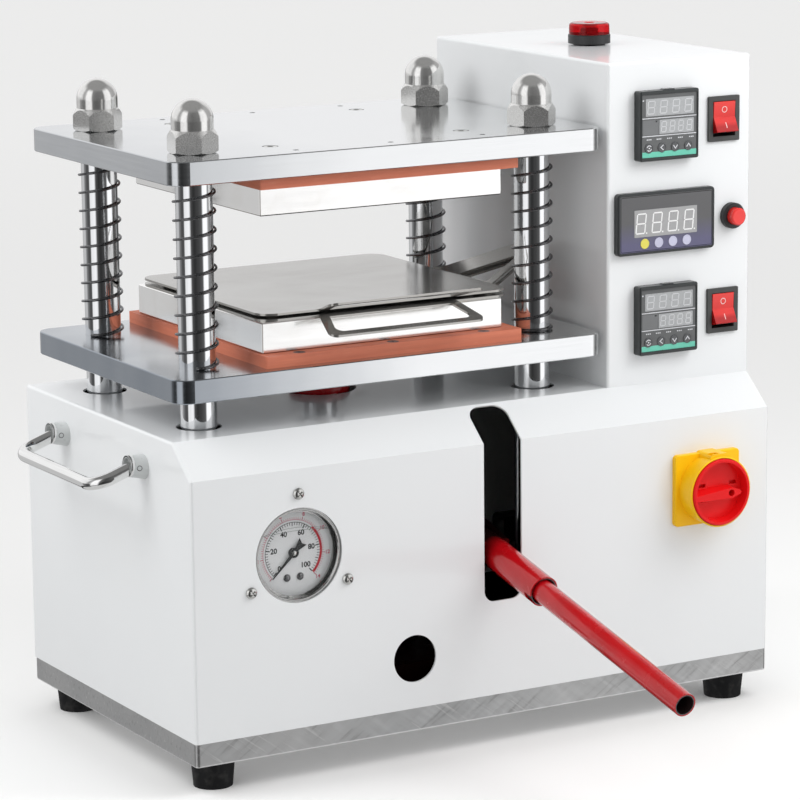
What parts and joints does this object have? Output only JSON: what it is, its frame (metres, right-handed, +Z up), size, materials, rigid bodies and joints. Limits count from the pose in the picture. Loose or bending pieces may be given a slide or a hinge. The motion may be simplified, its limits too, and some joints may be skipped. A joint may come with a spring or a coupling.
{
  "type": "benchtop hydraulic rubber mould vulcanizing press",
  "caption": "Benchtop hot press: a hand-pumped hydraulic jack in a white cabinet lifts a heated platen on sprung columns against a fixed heated platen, beside a control tower.",
  "frame": {"origin": "table level, under the middle of the box that holds the whole press with its lever lowered", "axes": "+X along the cabinet's front to the side of the control tower, +Y from the lever's end at the front to the rear covers, +Z up"},
  "size_m": [0.541, 0.4868, 0.48],
  "materials": {
    "white_powder_coat": "glossy white powder coat",
    "milled_steel": "raw milled steel with scuffs",
    "foot_rubber": "matt black rubber",
    "screw_steel": "bright zinc",
    "hard_chrome": "polished hard chrome",
    "nut_steel": "satin stainless steel with polished domes",
    "spring_steel": "dark drawn spring wire",
    "plate_steel": "finely brushed bright steel",
    "insulation_red": "matt red-orange insulating board",
    "heater_metal": "smooth bright metal with heat stains",
    "cartridge_steel": "heat-tinted steel",
    "tray_steel": "rolled stainless sheet, lightly stained",
    "red_enamel": "glossy red enamel",
    "pump_steel": "turned steel",
    "gauge_steel": "stainless steel, black behind",
    "dial_white": "silver-white printed dial",
    "clear_glass": "clear flat glass",
    "needle_black": "matt black",
    "handle_chrome": "bright chrome plate",
    "ferrule_grey": "light grey lacquer",
    "switch_yellow": "satin yellow moulded plastic",
    "switch_red": "satin red moulded plastic",
    "instrument_grey": "fine-grained dark grey moulded plastic",
    "bezel_black": "black moulded plastic",
    "key_red": "glossy red moulded plastic",
    "lens_red": "translucent red plastic"
  },
  "bodies": {
    "press_frame": {"base_plate": "milled_steel", "rubber_feet": "foot_rubber", "base_screws": "screw_steel", "cabinet": "white_powder_coat", "control_tower": "white_powder_coat", "cabinet_rear_cover": "white_powder_coat", "tower_rear_cover": "white_powder_coat", "panel_screws": "screw_steel", "power_inlet": "bezel_black", "column_front_left": "hard_chrome", "column_front_right": "hard_chrome", "column_rear_left": "hard_chrome", "column_rear_right": "hard_chrome", "spring_front_left": "spring_steel", "spring_front_right": "spring_steel", "spring_rear_left": "spring_steel", "spring_rear_right": "spring_steel", "cap_nuts": "nut_steel", "top_plate": "plate_steel", "upper_platen_screws": "screw_steel", "upper_insulation_board": "insulation_red", "upper_heater_block": "heater_metal", "upper_cartridge_heaters": "cartridge_steel", "jack_base": "red_enamel", "jack_cylinder": "red_enamel", "jack_cap": "red_enamel", "pump_barrel": "pump_steel", "gauge_case": "gauge_steel", "gauge_dial": "dial_white", "gauge_glass": "clear_glass", "gauge_pipe": "pump_steel", "handle_left": "handle_chrome", "handle_right": "handle_chrome", "handle_ferrules": "ferrule_grey", "main_switch_base": "switch_yellow", "controller_upper": "instrument_grey", "controller_lower": "instrument_grey", "power_meter": "instrument_grey", "rocker_bezels": "bezel_black", "button_bezel": "bezel_black", "buzzer_base": "bezel_black", "buzzer_lens": "lens_red"},
    "platen": {"moving_plate": "plate_steel", "lower_platen_screws": "screw_steel", "lower_insulation_board": "insulation_red", "lower_heater_block": "heater_metal", "lower_cartridge_heaters": "cartridge_steel", "lower_tray": "tray_steel", "upper_tray": "tray_steel", "jack_ram": "hard_chrome"},
    "pump_lever": {"lever_socket": "red_enamel", "lever_tube": "red_enamel", "lever_pins": "screw_steel"},
    "plunger": {"pump_plunger": "pump_steel"},
    "valve": {"release_valve": "pump_steel"},
    "needle": {"gauge_needle": "needle_black"},
    "switch_knob": {"main_switch_knob": "switch_red"},
    "rocker_key_upper": {"rocker_upper": "key_red"},
    "rocker_key_lower": {"rocker_lower": "key_red"},
    "button": {"push_button": "key_red"}
  },
  "joints": [
    {"name": "platen_lift", "type": "slide", "parent": "press_frame", "child": "platen", "axis": [0, 0, 1], "range_m": [0, 0.0662], "stiffness_N_per_m": 1200, "springref_m": -0.03, "deforming": ["spring_front_left", "spring_front_right", "spring_rear_left", "spring_rear_right"]},
    {"name": "lever_swing", "type": "hinge", "parent": "press_frame", "child": "pump_lever", "pos_m": [0.008, 0.05027, 0.147], "axis": [-1, 0, 0], "range_deg": [0, 55]},
    {"name": "plunger_stroke", "type": "slide", "parent": "press_frame", "child": "plunger", "axis": [0, 0, 1], "range_m": [0, 0.02587]},
    {"name": "valve_turn", "type": "hinge", "parent": "press_frame", "child": "valve", "pos_m": [-0.0625, 0.04027, 0.071], "axis": [0, -1, 0], "range_deg": [0, 360]},
    {"name": "needle_turn", "type": "hinge", "parent": "press_frame", "child": "needle", "pos_m": [-0.1505, -0.01173, 0.155], "axis": [0, 1, 0], "range_deg": [0, 270], "stiffness_Nm_per_rad": 0.0006, "springref_deg": -17.19},
    {"name": "switch_turn", "type": "hinge", "parent": "press_frame", "child": "switch_knob", "pos_m": [0.175, -0.03173, 0.1623], "axis": [0, -1, 0], "range_deg": [0, 90]},
    {"name": "rocker_upper_tilt", "type": "hinge", "parent": "press_frame", "child": "rocker_key_upper", "pos_m": [0.2065, 0.00927, 0.4195], "axis": [1, 0, 0], "range_deg": [0, 24]},
    {"name": "rocker_lower_tilt", "type": "hinge", "parent": "press_frame", "child": "rocker_key_lower", "pos_m": [0.2065, 0.00927, 0.2827], "axis": [1, 0, 0], "range_deg": [0, 24]},
    {"name": "button_press", "type": "slide", "parent": "press_frame", "child": "button", "axis": [0, 1, 0], "range_m": [0, 0.003], "stiffness_N_per_m": 300, "springref_m": -0.002}
  ],
  "couplings": [
    {"joint": "plunger_stroke", "follows": "lever_swing", "m_per_rad": 0.026937}
  ]
}
